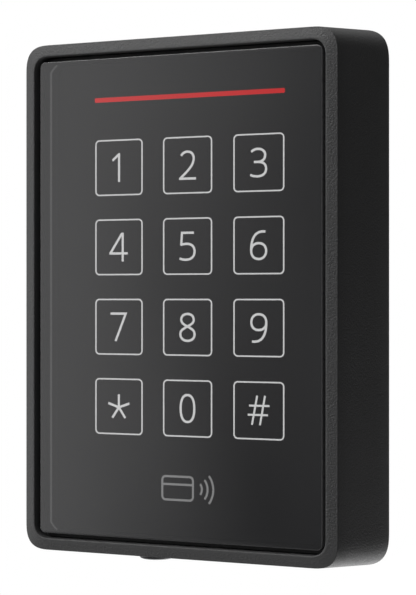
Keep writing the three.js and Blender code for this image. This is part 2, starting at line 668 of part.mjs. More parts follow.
boardScrews.forEach((at, i) => addPiece(`board_screw_${i + 1}`, boardScrew(at), MATERIAL.steel));
addPiece("lock_insert", sleeve(LOCK_INSERT), MATERIAL.brass);
addPiece("lock_washer", sleeve(LOCK_WASHER), MATERIAL.nylon);
addPiece("lock_screw", lockScrew(), MATERIAL.darkSteel);

export default root;
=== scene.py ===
"""Looks of the keypad access reader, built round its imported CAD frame.

+Z is up, the wall is the plane Y = 0 and the reader's front looks along -Y. Blender works in metres. Shapes
here are written in millimetres and scaled once, by MM. A depth is counted from the front plane to the wall.
"""
import math

import bmesh
import bpy
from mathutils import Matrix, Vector


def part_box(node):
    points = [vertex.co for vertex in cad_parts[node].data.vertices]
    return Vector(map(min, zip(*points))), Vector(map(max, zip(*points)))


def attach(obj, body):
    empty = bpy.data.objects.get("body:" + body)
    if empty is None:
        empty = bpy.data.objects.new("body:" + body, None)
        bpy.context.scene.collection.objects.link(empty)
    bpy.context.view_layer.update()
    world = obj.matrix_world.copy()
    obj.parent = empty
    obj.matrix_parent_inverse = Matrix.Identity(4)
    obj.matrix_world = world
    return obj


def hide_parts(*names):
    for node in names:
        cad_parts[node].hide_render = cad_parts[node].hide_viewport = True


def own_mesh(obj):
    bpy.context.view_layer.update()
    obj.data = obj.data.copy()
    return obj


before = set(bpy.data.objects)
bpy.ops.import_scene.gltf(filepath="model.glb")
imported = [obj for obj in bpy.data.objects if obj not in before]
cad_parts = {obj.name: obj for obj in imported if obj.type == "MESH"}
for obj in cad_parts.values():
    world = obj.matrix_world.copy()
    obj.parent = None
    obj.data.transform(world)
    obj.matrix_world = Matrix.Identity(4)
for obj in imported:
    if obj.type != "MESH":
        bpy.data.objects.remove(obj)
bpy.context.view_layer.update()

MM = 0.001


def node_box(node):
    """Lowest and highest corner of a CAD node in millimetres."""
    low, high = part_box(node)
    return low / MM, high / MM


def middle_of(low, high):
    """The x and z in the middle of a box's front view."""
    return (low.x + high.x) / 2, (low.z + high.z) / 2


# ---------------------------------------------------------------- driving dimensions
# Lengths are in millimetres. Powers, steps, turns and shares are plain numbers.
# A pair is the low and the high end along one direction. A reach is how far a rounded corner runs along each
# side. An opening or cavity is its width, height and corner reach. A profile is a list of (radius, place).

HOUSING_LOW, HOUSING_HIGH = node_box("housing")
FRONT_Y = HOUSING_LOW.y
BODY_DEPTH = HOUSING_HIGH.y - FRONT_Y
FLARE = 2.05  # how far each side wall leans out over the body's depth
FRONT_WIDTH = HOUSING_HIGH.x - HOUSING_LOW.x - 2 * FLARE
FRONT_HEIGHT = HOUSING_HIGH.z - HOUSING_LOW.z - 2 * FLARE
WALL_GAP = 1.5  # between the rear rim and the wall
CORNER_REACH = 8.5
CORNER_POWER = 3.0
CORNER_STEPS = 22
ROUND_STEPS = 5  # in a rounded edge
WALL_STEPS = 4  # along the outer wall

LAND_WIDTH = 3.5  # the frame round the window
LAND_DROP = 0.65  # how far it falls away outwards
LAND_CROWN = 1.1
LAND_STEPS = 8
EDGE_ROUND = 0.18
LIP_ROUND = 0.36
RIM_ROUND = 0.5

LEGEND_LOW, LEGEND_HIGH = node_box("legend_plate")
LEGEND_DEPTH = LEGEND_LOW.y - FRONT_Y
POCKET_POWER = 2.5
POCKET_WIDTH = FRONT_WIDTH - 2 * LAND_WIDTH
POCKET_HEIGHT = FRONT_HEIGHT - 2 * LAND_WIDTH
POCKET_REACH = CORNER_REACH - LAND_WIDTH
POCKET_MARGIN = 1  # a wall this near the pocket's outline belongs to the pocket
LEDGE_GAP = 0.3  # behind the legend plate
LEDGE_THICKNESS = 1.5
LEDGE_FRONT = LEGEND_HIGH.y - FRONT_Y + LEDGE_GAP
LEDGE_BACK = LEDGE_FRONT + LEDGE_THICKNESS
LEDGE_OPENING = (88.4, 133.4, 3)
CAVITY = (99.2, 144.8, 5)
CAVITY_END = 24.8
REAR_RECESS = (102.4, 148.2, 6)

WINDOW_CORNER = 1.7
WINDOW_BEVEL = 0.22
SPACER_OPENING = (89.9, 138.2, 2.2)
SPACER_POWER = 1.2  # the opening's corners are almost cut straight
SPACER_EDGE = 0.4
SPACER_PLAY = 0.3
BAR_HEIGHT = 1.3
BAR_CORNER = 0.15
BAR_FOOT_CORNER = 0.5
BAR_FOOT_DEPTH = 9.4
PRINT_GAP = 0.01
PRINT_THICKNESS = 0.08

KEY_COLUMNS = 3
KEY_ROWS = 4
KEY_PITCH_X = 23.6
KEY_PITCH_Z = 23.5
KEY_CENTRE_X = 0.15
KEY_CENTRE_Z = 3.1
KEY_SIZE = 16.15
KEY_CORNER = 1.2
KEY_LINE = 0.41
DIGIT_LINE = 0.68
HASH_LINE = 0.57

SIGN_CENTRE = (0.0, -55.4)
SIGN_LINE = 0.62
CARD_X = -3.2
CARD_WIDTH = 10.4
CARD_HEIGHT = 6.8
CARD_CORNER = 1.1
STRIPE_HALF = 5.1
STRIPE_Z = 1.1
WAVE_X = 2.6
WAVE_RADII = (2.4, 4.3, 6.2)
WAVE_ANGLES = range(-40, 41, 5)

LOCK_AXIS = (-15, FRONT_Y + 15)  # upright, in x and y
LOCK_BOSS = ((-22, -8), (-22.5, -9.5), (-74.5, -61))
HEAD_BORE = [(5.9, -69.6), (5.9, -75.8), (6.5, -76.4), (6.5, -80)]
SHANK_BORE = [(3.8, -60), (3.8, -68.6), (3, -68.6), (3, -70)]
LOCK_HEAD_HEIGHT = 2.3
LOCK_HEAD_EDGE = 0.4  # the height of the head's upright side
LOCK_HEAD_POWER = 0.55  # flattens the crown and steepens the side
LOCK_CROWN_INSET = 0.3
LOCK_CHAMFER = 0.15
LOCK_SHANK_RADIUS = 2.45
LOCK_TIP_RADIUS = 1.4
LOCK_TIP_LENGTH = 1.2
LOCK_RECESS_RADIUS = 1.75
LOCK_RECESS_DEPTH = 1.5
LOCK_PIN_RADIUS = 0.55
LOCK_PIN_SUNK = 0.2
LOCK_PIN_END = 1.7
AXIS_RADIUS = 0.02  # stands for zero where a turned outline meets its axis

COVER_SCREW = {"head_radius": 2.5, "head_height": 0.9, "shank_radius": 1.15}
BOARD_SCREW = {"head_radius": 2.4, "head_height": 1.4, "shank_radius": 0.95}
HEAD_SIDE = 0.4  # the share of a pan head's height below its dome
HEAD_CHAMFER = 0.1
CROSS_DEPTH = 0.75  # of the head's height
CROSS_HALF_LENGTH = 0.62  # of the head's radius
CROSS_HALF_WIDTH = 0.144
CROSS_TAPER = (0.4, 0.5)  # the floor's share of the length and the width
CROSS_PROUD = 0.3
THREAD_PITCH = 0.9
THREAD_HEIGHT = 0.18
THREAD_START = 1.2
POINT_LENGTH = 0.6
POINT_RADIUS = 0.1
POINT_TAPER = 0.4
SHANK_COLLAR = 0.05

TERMINAL_WAYS = 8
TERMINAL_PITCH = 4.2
CLAMP_Z = -26.5
CLAMP_RADIUS = 1.12
CLAMP_AXIS_RADIUS = 0.05
CLAMP_SUNK = 0.5
CLAMP_HEIGHT = 1.0
CLAMP_CHAMFER = 0.1
CLAMP_SLOT_WIDTH = 0.32
CLAMP_SLOT_DEPTH = 0.4

SPRING_TURNS = 4
SPRING_CLOSED = 0.8  # turns that lie flat at each end
SPRING_WIRE = 0.13
SPRING_STEPS = 32

BRACKET_HEIGHT = 136
BRACKET_THICKNESS = 2
BRACKET_BACK = BODY_DEPTH + WALL_GAP
BRACKET_FRONT = BRACKET_BACK - BRACKET_THICKNESS
BRACKET_CORNER = 6
BRACKET_EDGE = 0.3
WELD_Y = -1  # a hook or tab runs into the plate as far as this
HOOK_X = 26
HOOK_WIDTH = 12
HOOK_REACH = 7.2
HOOK_THICKNESS = 1.5
HOOK_BOTTOM = 66.5
HOOK_NECK_TOP = 68
TAB_X = (-23, -7)
TAB_Z = (-58, -55.6)
TAB_HOLE = [(3, -60), (3, -58), (3, -55.6), (3, -54)]
SLOT_ACROSS = (11, 3.9, 1.9)
SLOT_UPRIGHT = (3.9, 11, 1.9)
SLOT_X = 34
SLOT_Z = 50
SLOT_RIM = 0.9
SLOT_EDGE = 0.2
CABLE_WINDOW = (40, 32, 4)
CABLE_WINDOW_Z = -28
CABLE_WINDOW_RIM = 0.3
CORE_HEIGHT = 15
CORE_CORNER = 1.6
CORE_DEPTH = 0.9
CORE_DRAFT = 0.3
CORE_GROUPS = [  # columns, rows and a pocket's width
    ((-18.75, -6.25, 6.25, 18.75), (55.5, 38.5, 21.5, 4.5, -56), 10.5),
    ((-34, 34), (34, 17, 0, -17, -34), 13),
]

PROUD = 1  # how far a cutting tool stands out of what it cuts
FLAT = 0.9  # the share of a face's normal along Y, past which the face looks forwards or back
SLOPED = 0.4  # the same, past which the face slopes
UPRIGHT = 0.1  # the same, below which the face is a side wall
LED_EDGE = 0.1
WELD_DISTANCE = 0.005
BEVEL_ANGLE = 35  # degrees


# ---------------------------------------------------------------- mesh helpers

MERGE_DISTANCE = 1e-7  # metres


def mix(a, b, share):
    return a + (b - a) * share


def quarter(steps):
    """Cosine and sine over a quarter turn."""
    angles = (i / steps * math.pi / 2 for i in range(steps + 1))
    return [(math.cos(a), math.sin(a)) for a in angles]


def rounded_rectangle(width, height, reach, power=2.0, steps=CORNER_STEPS):
    """Points (x, z) of a rectangle whose corners follow |u|^power + |v|^power = 1."""
    turns = (
        lambda c, s: (c, s, 1, 1),
        lambda c, s: (s, c, -1, 1),
        lambda c, s: (c, s, -1, -1),
        lambda c, s: (s, c, 1, -1),
    )
    points = []
    for turn in turns:
        for cosine, sine in quarter(steps):
            u, v, side_x, side_z = turn(cosine, sine)
            x = width / 2 - reach + reach * max(u, 0.0) ** (2 / power)
            z = height / 2 - reach + reach * max(v, 0.0) ** (2 / power)
            points.append((side_x * x, side_z * z))
    return points


def grown(size, grow, power=2.0, steps=CORNER_STEPS):
    """A rounded rectangle of a width, height and corner reach, let out by grow on every side."""
    width, height, reach = size
    return rounded_rectangle(width + 2 * grow, height + 2 * grow, reach + grow, power, steps)


def ring(depth, outline, centre=(0.0, 0.0)):
    """An outline in the front view, placed at a depth."""
    return [(centre[0] + x, FRONT_Y + depth, centre[1] + z) for x, z in outline]


def bridge(rings, closed=False):
    """Vertices and quads that join rings of equal length, one after the other."""
    count = len(rings[0])
    vertices = [point for one in rings for point in one]
    faces = []
    for i in range(len(rings) if closed else len(rings) - 1):
        a = i * count
        b = (i + 1) % len(rings) * count
        for j in range(count):
            k = (j + 1) % count
            faces.append((a + j, a + k, b + k, b + j))
    return vertices, faces


def capped(rings):
    """A closed solid through rings, with a flat face at each end."""
    vertices, faces = bridge(rings)
    count = len(rings[0])
    faces.append(tuple(range(count)))
    faces.append(tuple(range(len(vertices) - count, len(vertices))))
    return vertices, faces


def smooth(mesh, sharp=30.0):
    mesh.shade_smooth()
    mesh.set_sharp_from_angle(angle=math.radians(sharp))


def solid(name, vertices, faces, sharp=30.0):
    """An object from points in millimetres, its faces turned outwards and smooth below the sharp angle."""
    mesh = bpy.data.meshes.new(name)
    mesh.from_pydata([tuple(c * MM for c in v) for v in vertices], [], faces)
    work = bmesh.new()
    work.from_mesh(mesh)
    bmesh.ops.remove_doubles(work, verts=work.verts, dist=MERGE_DISTANCE)
    bmesh.ops.recalc_face_normals(work, faces=work.faces)
    work.to_mesh(mesh)
    work.free()
    smooth(mesh, sharp)
    piece = bpy.data.objects.new(name, mesh)
    bpy.context.scene.collection.objects.link(piece)
    return piece


def carve(piece, tool, operation="DIFFERENCE"):
    """Cuts or joins a tool solid, which is then removed."""
    modifier = piece.modifiers.new("carve", "BOOLEAN")
    modifier.operation = operation
    modifier.solver = "EXACT"
    modifier.object = tool
    depsgraph = bpy.context.evaluated_depsgraph_get()
    made = bpy.data.meshes.new_from_object(piece.evaluated_get(depsgraph))
    piece.modifiers.clear()
    piece.data = made
    bpy.data.objects.remove(tool)
    return piece


def circle(radius, sides):
    """Points of a circle about zero."""
    angles = (i / sides * 2 * math.pi for i in range(sides))
    return [(radius * math.cos(a), radius * math.sin(a)) for a in angles]


def turned(profile, axis_x, axis_y, sides=48):
    """Vertices and faces of a solid of revolution about an upright axis, from (radius, z) points."""
    return capped([[(axis_x + u, axis_y + v, z) for u, v in circle(radius, sides)] for radius, z in profile])


def turned_in_depth(profile, x, z, sides=40):
    """Vertices and faces of a solid of revolution about an axis along Y, from (radius, depth) points."""
    return capped([ring(depth, circle(radius, sides), (x, z)) for radius, depth in profile])


def block(x, y, z):
    """Vertices and faces of a box between two corners."""
    vertices = [(a, b, c) for a in x for b in y for c in z]
    faces = [(0, 1, 3, 2), (4, 6, 7, 5), (0, 4, 5, 1), (2, 3, 7, 6), (0, 2, 6, 4), (1, 5, 7, 3)]
    return vertices, faces


def place(piece, body, slot, material, *replaced):
    """Gives a finished piece its material and body, and hides the CAD nodes that it stands for. The slot is
    not used.
    """
    piece.data.materials.clear()
    piece.data.materials.append(material)
    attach(piece, body)
    if replaced:
        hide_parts(*replaced)
    return piece


# ---------------------------------------------------------------- materials

MIX_SHARE, MIX_LOW, MIX_HIGH, MIX_RESULT = 0, 6, 7, 2  # the sockets of a Mix node for colours
NOISE_LOW, NOISE_HIGH = 0.3, 0.7  # where most of a noise texture lies


def link(tree, source, target):
    tree.links.new(source, target)


def noise(tree, size, detail):
    """The strength of a noise texture whose features are about size millimetres."""
    texture = tree.nodes.new("ShaderNodeTexNoise")
    texture.inputs["Scale"].default_value = 1 / (size * MM)
    texture.inputs["Detail"].default_value = detail
    link(tree, tree.nodes.new("ShaderNodeTexCoord").outputs["Object"], texture.inputs["Vector"])
    return texture.outputs["Fac"]


def finish(name, colour, rough, grain, relief, spread=0.12, patch=12.0, metallic=0.0, **sockets):
    """A Principled material whose colour, gloss and relief vary.

    colour is linear RGB, and rough is the lowest and highest roughness. grain is the size of the surface
    texture and relief its height, both in millimetres. spread is how far the colour varies, in patches of
    patch grains. Any other value goes to the socket of that name.
    """
    made = bpy.data.materials.new(name)
    made.use_nodes = True
    tree = made.node_tree
    shader = tree.nodes["Principled BSDF"]
    fine = noise(tree, grain, detail=3.0)
    broad = noise(tree, grain * patch, detail=4.0)

    blend = tree.nodes.new("ShaderNodeMix")
    blend.data_type = "RGBA"
    blend.inputs[MIX_LOW].default_value = (*[c * (1 - spread) for c in colour], 1)
    blend.inputs[MIX_HIGH].default_value = (*[min(c * (1 + spread), 1.0) for c in colour], 1)
    link(tree, broad, blend.inputs[MIX_SHARE])
    link(tree, blend.outputs[MIX_RESULT], shader.inputs["Base Color"])

    gloss = tree.nodes.new("ShaderNodeMapRange")
    gloss.inputs["From Min"].default_value = NOISE_LOW
    gloss.inputs["From Max"].default_value = NOISE_HIGH
    gloss.inputs["To Min"].default_value = rough[0]
    gloss.inputs["To Max"].default_value = rough[1]
    link(tree, fine, gloss.inputs["Value"])
    link(tree, gloss.outputs["Result"], shader.inputs["Roughness"])

    if relief:
        bump = tree.nodes.new("ShaderNodeBump")
        bump.inputs["Strength"].default_value = 1.0
        bump.inputs["Distance"].default_value = relief * MM
        link(tree, fine, bump.inputs["Height"])
        link(tree, bump.outputs["Normal"], shader.inputs["Normal"])

    shader.inputs["Metallic"].default_value = metallic
    for socket, value in sockets.items():
        shader.inputs[socket.replace("_", " ")].default_value = value
    return made


def glowing(name, colour, strength, **options):
    """A material that also gives light, its glow a little uneven."""
    made = finish(name, colour, **options)
    tree = made.node_tree
    shader = tree.nodes["Principled BSDF"]
    link(tree, tree.nodes["Mix"].outputs[MIX_RESULT], shader.inputs["Emission Color"])
    shader.inputs["Emission Strength"].default_value = strength
    return made


HOUSING = finish("housing_plastic", (0.014, 0.014, 0.0145), (0.5, 0.6), 0.5, 0.18, patch=40)
PANE = finish("smoked_pane", (0.012, 0.012, 0.013), (0.07, 0.1), 9.0, 0, patch=3, Alpha=0.85,
              Specular_IOR_Level=0.5)
# The pane's edge and bevel are a lighter grey than its tint: a painted highlight along the edge, which also
# lightens the groove round the window.
PANE_EDGE_PAINTED_LIGHT = finish("pane_edge_painted_light", (0.1, 0.1, 0.102), (0.25, 0.35), 2.0, 0, Specular_IOR_Level=0.35)
# A lighter copy of the housing plastic: painted light on the pocket walls, which lifts the shade in the
# groove round the window.
POCKET_PAINTED_LIGHT = finish("pocket_painted_light", (0.042, 0.042, 0.043), (0.5, 0.6), 0.5, 0.02)
PANE_BACK = finish("pane_back", (0.02, 0.02, 0.02), (0.1, 0.2), 9.0, 0, Alpha=0.02)
BLACK = finish("black_plastic", (0.012, 0.012, 0.013), (0.45, 0.6), 0.25, 0.006)
SPACER = finish("spacer_foam", (0.007, 0.007, 0.0075), (0.6, 0.75), 0.4, 0.006, Specular_IOR_Level=0.22)
LEGEND = finish("legend_black", (0.008, 0.008, 0.009), (0.35, 0.45), 0.6, 0.002)
WHITE = glowing("legend_print", (0.8, 0.8, 0.8), 4.3,
                rough=(0.4, 0.5), grain=0.4, relief=0.002, spread=0.04)
GREY = glowing("symbol_print", (0.5, 0.5, 0.5), 2.3,
               rough=(0.4, 0.5), grain=0.4, relief=0.002, spread=0.04)
RED = glowing("status_glow", (0.85, 0.002, 0.004), 3.5,
              rough=(0.3, 0.4), grain=0.8, relief=0.002, spread=0.06)
# Painted highlight: a glow on the spacer's opening edge that stands in for reflected key light.
PAINTED_EDGE_HIGHLIGHT = glowing("painted_edge_highlight", (0.2, 0.2, 0.2), 1.5, rough=(0.4, 0.5), grain=0.6, relief=0.002)
FILM = finish("touch_film", (0.3, 0.36, 0.4), (0.2, 0.35), 1.0, 0.003)
GUIDE = finish("light_guide", (0.75, 0.78, 0.8), (0.15, 0.3), 2.0, 0.002)
LED = finish("led_body", (0.85, 0.8, 0.5), (0.2, 0.35), 0.5, 0.004)
BOARD = finish("board_green", (0.012, 0.07, 0.035), (0.3, 0.45), 0.8, 0.01)
COPPER = finish("copper", (0.72, 0.3, 0.12), (0.25, 0.4), 0.2, 0.02, metallic=0.95)
FERRITE = finish("ferrite", (0.03, 0.028, 0.027), (0.6, 0.75), 0.3, 0.02)
CHIP = finish("chip_black", (0.012, 0.012, 0.014), (0.4, 0.55), 0.15, 0.008)
STEEL = finish("tinned_steel", (0.6, 0.61, 0.63), (0.22, 0.36), 0.3, 0.004, metallic=0.95)
BRASS = finish("brass", (0.6, 0.42, 0.15), (0.25, 0.4), 0.3, 0.006, metallic=0.95)
RUBBER = finish("rubber_black", (0.012, 0.012, 0.012), (0.75, 0.9), 0.3, 0.01)
TERMINAL = finish("terminal_green", (0.02, 0.2, 0.07), (0.4, 0.55), 0.3, 0.008)
BRACKET = finish("bracket_grey", (0.03, 0.031, 0.033), (0.42, 0.58), 0.22, 0.012)
SCREW = finish("dark_steel", (0.028, 0.028, 0.03), (0.3, 0.42), 0.25, 0.004, metallic=0.8)
NYLON = finish("white_nylon", (0.7, 0.7, 0.68), (0.4, 0.55), 0.4, 0.006)


# ---------------------------------------------------------------- housing

def outer_ring(depth, inset, power=CORNER_POWER):
    lean = FLARE * depth / BODY_DEPTH - inset
    return ring(depth, grown((FRONT_WIDTH, FRONT_HEIGHT, CORNER_REACH), lean, power))


def pocket_ring(depth, grow):
    return ring(depth, grown((POCKET_WIDTH, POCKET_HEIGHT, POCKET_REACH), grow, POCKET_POWER))


def land_rings():
    """The frame round the window, from its outer edge inwards, on a slight crown."""
    rings = []
    for i in range(LAND_STEPS + 1):
        share = 1 - i / LAND_STEPS
        inset = mix(LAND_WIDTH - LIP_ROUND, EDGE_ROUND, share)
        depth = LAND_DROP * share ** LAND_CROWN
        rings.append(outer_ring(depth, inset, mix(POCKET_POWER, CORNER_POWER, share)))
    return rings


def inner_rings():
    """The inside of the shell: the ledge behind the legend plate, the cavity and the rear recess."""
    width, height, reach = REAR_RECESS
    steps = [
        (LEDGE_FRONT, LEDGE_OPENING),
        (LEDGE_BACK, LEDGE_OPENING),
        (LEDGE_BACK, CAVITY),
        (CAVITY_END, CAVITY),
        (CAVITY_END, REAR_RECESS),
        (BODY_DEPTH - RIM_ROUND / 2, REAR_RECESS),
        (BODY_DEPTH, (width + RIM_ROUND, height + RIM_ROUND, reach)),
    ]
    return [ring(depth, rounded_rectangle(*size)) for depth, size in steps]


def on_pocket_wall(face):
    """Whether a face of the housing is part of the wall round the window."""
    depth = face.center.y / MM - FRONT_Y
    upright = abs(face.normal.y) < UPRIGHT and LIP_ROUND < depth < LEDGE_FRONT
    near_x = abs(face.center.x) / MM < POCKET_WIDTH / 2 + POCKET_MARGIN
    near_z = abs(face.center.z) / MM < POCKET_HEIGHT / 2 + POCKET_MARGIN
    return upright and near_x and near_z


def housing():
    edge_end = LAND_DROP + EDGE_ROUND
    rim_start = BODY_DEPTH - RIM_ROUND
    edge = [outer_ring(edge_end - EDGE_ROUND * s, EDGE_ROUND * (1 - c)) for c, s in quarter(ROUND_STEPS)]
    lip = [pocket_ring(LIP_ROUND * (1 - c), LIP_ROUND * (1 - s)) for c, s in quarter(ROUND_STEPS)]
    rim = [outer_ring(rim_start + RIM_ROUND * c, RIM_ROUND * (1 - s)) for c, s in quarter(steps=4)]
    walls = [outer_ring(mix(edge_end, rim_start, i / WALL_STEPS), 0) for i in range(1, WALL_STEPS)]
    inside = [pocket_ring(LEDGE_FRONT, 0)] + inner_rings()
    rings = edge + land_rings()[1:] + lip[1:] + inside + rim + walls[::-1]
    shell = solid("housing_shell", *bridge(rings, closed=True))
    carve(shell, solid("lock_boss", *block(*LOCK_BOSS)), "UNION")
    carve(shell, solid("head_bore", *turned(HEAD_BORE, *LOCK_AXIS)))
    carve(shell, solid("shank_bore", *turned(SHANK_BORE, *LOCK_AXIS)))
    smooth(shell.data)
    place(shell, "reader", "housing_plastic", HOUSING, "housing")
    # The walls round the window get the lighter copy of the plastic: painted light.
    shell.data.materials.append(POCKET_PAINTED_LIGHT)
    for face in shell.data.polygons:
        face.material_index = int(on_pocket_wall(face))
    return shell


# ---------------------------------------------------------------- window and legends

def window_pane():
    low, high = node_box("front_window")
    size = (high.x - low.x, high.z - low.z, WINDOW_CORNER)
    front, back = low.y - FRONT_Y, high.y - FRONT_Y

    def section(depth, inset):
        return ring(depth, grown(size, -inset))

    rings = [section(front + WINDOW_BEVEL * (1 - c), WINDOW_BEVEL * (1 - s)) for c, s in quarter(steps=4)]
    rings += [section(back - WINDOW_BEVEL / 2, 0), section(back, WINDOW_BEVEL / 2)]
    pane = solid("window_pane", *capped(rings))
    place(pane, "reader", "smoked_window", PANE, "front_window")
    pane.data.materials.append(PANE_BACK)
    # The edge and bevel faces get the lighter grey: painted highlight.
    pane.data.materials.append(PANE_EDGE_PAINTED_LIGHT)
    for face in pane.data.polygons:
        if face.normal.y > FLAT:
            face.material_index = 1
        elif face.normal.y > -FLAT:
            face.material_index = 2
    return pane


def window_spacer():
    """The frame behind the window. The front edge of its opening glows at the left: a painted highlight that
    stands for the key light catching it.
    """
    low, high = node_box("window_spacer")
    front, back = low.y - FRONT_Y, high.y - FRONT_Y
    size = (POCKET_WIDTH - 2 * SPACER_PLAY, POCKET_HEIGHT - 2 * SPACER_PLAY)
    outer = rounded_rectangle(*size, POCKET_REACH, POCKET_POWER)
    opening = grown(SPACER_OPENING, 0, SPACER_POWER)
    mouth = grown(SPACER_OPENING, SPACER_EDGE, SPACER_POWER)
    rings = [
        ring(back, outer),
        ring(front, outer),
        ring(front, mouth),
        ring(front + SPACER_EDGE, opening),
        ring(back, opening),
    ]
    spacer = solid("spacer_frame", *bridge(rings, closed=True), sharp=20.0)
    place(spacer, "reader", "black_plastic", SPACER, "window_spacer")
    # The opening's front edge faces at the left get the glow: a painted highlight.
    spacer.data.materials.append(PAINTED_EDGE_HIGHLIGHT)
    for face in spacer.data.polygons:
        if face.normal.x > SLOPED and -FLAT < face.normal.y < -SLOPED:
            face.material_index = 1
    return spacer


def status_bar():
    """The lit bar: a square-ended nose that fills the legend plate's slot, on a thicker foot."""
    low, high = node_box("status_light_bar")
    width, foot_height = high.x - low.x, high.z - low.z
    centre = (0, (low.z + high.z) / 2)
    nose = rounded_rectangle(width, BAR_HEIGHT, BAR_CORNER, steps=3)
    foot = rounded_rectangle(width, foot_height, BAR_FOOT_CORNER, steps=3)
    rings = [
        ring(LEGEND_DEPTH, nose, centre),
        ring(BAR_FOOT_DEPTH, nose, centre),
        ring(BAR_FOOT_DEPTH, foot, centre),
        ring(high.y - FRONT_Y, foot, centre),
    ]
    return place(solid("status_light", *capped(rings)), "reader", "status_red", RED, "status_light_bar")


def curve(start, *segments, steps=14):
    """Points along straight pieces (end) and cubic pieces (control, control, end)."""
    points = [start]
    for segment in segments:
        if len(segment) == 2:
            points.append(segment)
            continue
        a = points[-1]
        b, c, d = segment
        for i in range(1, steps + 1):
            t = i / steps
            weights = ((1 - t) ** 3, 3 * t * (1 - t) ** 2, 3 * t * t * (1 - t), t ** 3)
            points.append(tuple(sum(w * p[k] for w, p in zip(weights, (a, b, c, d))) for k in (0, 1)))
    return points


SAME_POINT = 1e-6
MITRE_LIMIT = 0.3  # a stroke's corner is stretched by at most one over this


def ribbon(path, width, centre, closed=False):
    """A flat printed stroke of constant width along a path in the front view, as a thin closed solid."""
    points = [Vector(p) for p in path]
    if closed and (points[0] - points[-1]).length < SAME_POINT:
        points.pop()
    count = len(points)
    front, back = LEGEND_DEPTH - PRINT_GAP - PRINT_THICKNESS, LEGEND_DEPTH - PRINT_GAP
    rings = []
    for i, point in enumerate(points):
        before = points[i - 1] if i or closed else point
        after = points[(i + 1) % count] if i + 1 < count or closed else point
        first = (point - before).normalized() if (point - before).length else None
        second = (after - point).normalized() if (after - point).length else None
        first, second = first or second, second or first
        normal = Vector((-(first + second).y, (first + second).x)).normalized()
        stretch = 1 / max(normal.dot(Vector((-first.y, first.x))), MITRE_LIMIT)
        left = point + normal * width / 2 * stretch
        right = point - normal * width / 2 * stretch
        corners = ((left, front), (right, front), (right, back), (left, back))
        rings.append([(centre[0] + p.x, FRONT_Y + depth, centre[1] + p.y) for p, depth in corners])
    return bridge(rings, closed=True) if closed else capped(rings)


TOP = 3.9  # half the height of a digit along its strokes' middle lines
EDGE = TOP + DIGIT_LINE / 2
DIGIT_TWO = [
    curve((-2.15, 2.75), ((-1.6, 3.5), (-0.9, TOP), (-0.1, TOP)), ((1.3, TOP), (2.1, 3.1), (2.1, 1.9)),
          ((2.1, -0.3), (-0.4, -2.0), (-2.3, -3.75))),
    [(-2.8, -TOP), (2.85, -TOP)],
]
DIGIT_THREE = [
    curve((-2.4, 3.1), ((-1.8, 3.65), (-1.1, TOP), (-0.3, TOP)), ((1.1, TOP), (2.1, 3.2), (2.1, 2.1)),
          ((2.1, 0.9), (1.1, 0.2), (-0.2, 0.2))),
    curve((-1.55, 0.2), (-0.2, 0.2), ((1.4, 0.2), (2.4, -0.55), (2.4, -1.8)),
          ((2.4, -3.1), (1.3, -TOP), (-0.4, -TOP)), ((-1.3, -TOP), (-2.1, -3.75), (-2.75, -3.42))),
]
DIGIT_FIVE = [
    curve((2.15, TOP), (-1.85, TOP), (-2.12, 0.3)),
    curve((-2.3, 0.42), ((-1.5, 0.62), (-0.9, 0.7), (-0.2, 0.7)), ((1.4, 0.7), (2.4, -0.2), (2.4, -1.5)),
          ((2.4, -3.0), (1.3, -TOP), (-0.5, -TOP)), ((-1.3, -TOP), (-2.0, -3.78), (-2.65, -3.5))),
]
DIGIT_SIX = [
    curve((2.15, 3.85), ((1.8, 3.92), (1.4, 3.93), (1.1, TOP)), ((-1.3, 3.75), (-2.45, 1.8), (-2.45, -1.4))),
]
SIX_LOOP = curve(
    (-2.45, -1.55), ((-2.45, -0.3), (-1.5, 0.6), (0.0, 0.6)), ((1.5, 0.6), (2.4, -0.3), (2.4, -1.6)),
    ((2.4, -3.0), (1.4, -TOP), (0.0, -TOP)), ((-1.5, -TOP), (-2.45, -3.0), (-2.45, -1.55)),
)
# One half of an eight: an open S, so that the stroke doesn't cross itself.
EIGHT_HALF = curve(
    (-0.1, TOP), (0, TOP), ((1.2, TOP), (2.1, 3.25), (2.1, 2.2)), ((2.1, 1.25), (1.25, 0.85), (0, 0.25)),
    ((-1.35, -0.4), (-2.4, -0.85), (-2.4, -1.95)), ((-2.4, -3.15), (-1.4, -TOP), (0, -TOP)), (0.1, -TOP),
)
DIGIT_EIGHT = [EIGHT_HALF, [(-x, z) for x, z in EIGHT_HALF]]
DIGIT_ZERO = curve(
    (2.3, 0), ((2.3, 2.6), (1.45, TOP), (0, TOP)), ((-1.45, TOP), (-2.3, 2.6), (-2.3, 0)),
    ((-2.3, -2.6), (-1.45, -TOP), (0, -TOP)), ((1.45, -TOP), (2.3, -2.6), (2.3, 0)),
)


def half_turn(paths):
    return [[(-x, -z) for x, z in path] for path in paths]


def star_arms(reach=3.85, middle=(0.0, -0.25)):
    arms = []
    for i in range(5):
        angle = math.radians(90 + 72 * i)
        arms.append([middle, (middle[0] + reach * math.cos(angle), middle[1] + reach * math.sin(angle))])
    return arms


